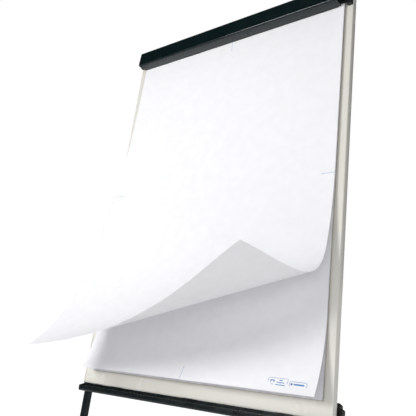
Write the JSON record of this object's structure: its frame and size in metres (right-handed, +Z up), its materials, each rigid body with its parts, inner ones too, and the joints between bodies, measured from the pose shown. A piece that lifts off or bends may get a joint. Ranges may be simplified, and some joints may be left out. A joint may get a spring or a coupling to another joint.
{
  "type": "flipchart easel",
  "caption": "Tripod flipchart easel with a framed steel board, hinged clamp rail, paper pad with a lifted sheet, pen tray and telescoping legs.",
  "frame": {"origin": "centre of the bounding box at floor level, between the front and rear feet", "axes": "+Z up, -Y towards the reader in front of the board, +X to the reader's right"},
  "size_m": [0.739, 0.8792, 1.8319],
  "materials": {
    "enamel": "gloss",
    "core": "matte",
    "black_steel": "satin",
    "zinc": "satin",
    "black_plastic": "matte",
    "rail_paint": "satin",
    "rail_plastic": "satin",
    "steel": "satin",
    "rubber": "matte",
    "paper": "matte",
    "card": "matte",
    "black_paint": "satin"
  },
  "bodies": {
    "board": {"board_panel": "enamel", "board_core": "core", "bottom_cross_rail": "black_steel", "top_cross_rail": "black_steel", "leg_guide_left": "zinc", "leg_guide_right": "zinc", "clamp_block_left": "black_plastic", "clamp_block_right": "black_plastic", "clamp_base": "rail_paint", "clamp_end_left": "rail_plastic", "clamp_end_right": "rail_plastic", "hinge_pin_left": "steel", "hinge_pin_right": "steel", "clamp_spring_left": "steel", "clamp_spring_right": "steel", "backing_card": "card", "paper_block": "paper", "second_page": "paper", "pen_tray": "black_paint", "tray_cap_left": "black_plastic", "tray_cap_right": "black_plastic", "tray_bracket_left": "black_steel", "tray_bracket_middle": "black_steel", "tray_bracket_right": "black_steel", "rear_bracket": "black_steel", "rear_pin": "steel", "bracket_screw_1": "steel", "bracket_screw_2": "steel", "bracket_screw_3": "steel", "bracket_screw_4": "steel"},
    "hood": {"clamp_hood": "rail_paint", "hood_boss_left": "rail_plastic", "hood_boss_right": "rail_plastic", "grip_strip": "rubber"},
    "hook_left": {"paper_hook_left": "steel"},
    "hook_right": {"paper_hook_right": "steel"},
    "page": {"front_page": "paper"},
    "leg_left": {"front_leg_left": "black_paint", "leg_plug_left": "black_plastic", "front_foot_left": "rubber"},
    "leg_right": {"front_leg_right": "black_paint", "leg_plug_right": "black_plastic", "front_foot_right": "rubber"},
    "knob_left": {"leg_knob_left": "black_plastic", "leg_stud_left": "steel"},
    "knob_right": {"leg_knob_right": "black_plastic", "leg_stud_right": "steel"},
    "rear_leg": {"rear_leg_upper": "black_paint", "rear_collar": "black_plastic"},
    "rear_extension": {"rear_leg_lower": "black_paint", "rear_leg_plug": "black_plastic", "rear_foot": "rubber"},
    "knob_rear": {"rear_knob": "black_plastic", "rear_stud": "steel"}
  },
  "joints": [
    {"name": "hood_hinge", "type": "hinge", "parent": "board", "child": "hood", "pos_m": [0, -0.00751, 1.82376], "axis": [-1, 0, 0], "range_deg": [0, 75], "stiffness_Nm_per_rad": 0.6, "springref_deg": -28.65},
    {"name": "hook_left_slide", "type": "slide", "parent": "board", "child": "hook_left", "axis": [1, 0, 0], "range_m": [-0.012, 0.012]},
    {"name": "hook_right_slide", "type": "slide", "parent": "board", "child": "hook_right", "axis": [1, 0, 0], "range_m": [-0.012, 0.012]},
    {"name": "page_turn", "type": "hinge", "parent": "board", "child": "page", "pos_m": [0, -0.01605, 1.77395], "axis": [-1, 0, 0], "range_deg": [0, 95]},
    {"name": "leg_left_slide", "type": "slide", "parent": "board", "child": "leg_left", "axis": [0, 0.2079, 0.9781], "range_m": [-0.06, 0.62]},
    {"name": "leg_right_slide", "type": "slide", "parent": "board", "child": "leg_right", "axis": [0, 0.2079, 0.9781], "range_m": [-0.06, 0.62]},
    {"name": "knob_left_turn", "type": "hinge", "parent": "board", "child": "knob_left", "pos_m": [-0.3507, -0.2022, 0.83565], "axis": [0, 0.9781, -0.2079], "continuous": true},
    {"name": "knob_right_turn", "type": "hinge", "parent": "board", "child": "knob_right", "pos_m": [0.3507, -0.2022, 0.83565], "axis": [0, 0.9781, -0.2079], "continuous": true},
    {"name": "rear_leg_fold", "type": "hinge", "parent": "board", "child": "rear_leg", "pos_m": [0, 0.0426, 1.71803], "axis": [-1, 0, 0], "range_deg": [0, 24]},
    {"name": "rear_extension_slide", "type": "slide", "parent": "rear_leg", "child": "rear_extension", "axis": [0, -0.2164, 0.9763], "range_m": [-0.08, 0.68]},
    {"name": "knob_rear_turn", "type": "hinge", "parent": "rear_leg", "child": "knob_rear", "pos_m": [0, 0.25666, 0.75248], "axis": [0, 0.9763, 0.2164], "continuous": true}
  ]
}
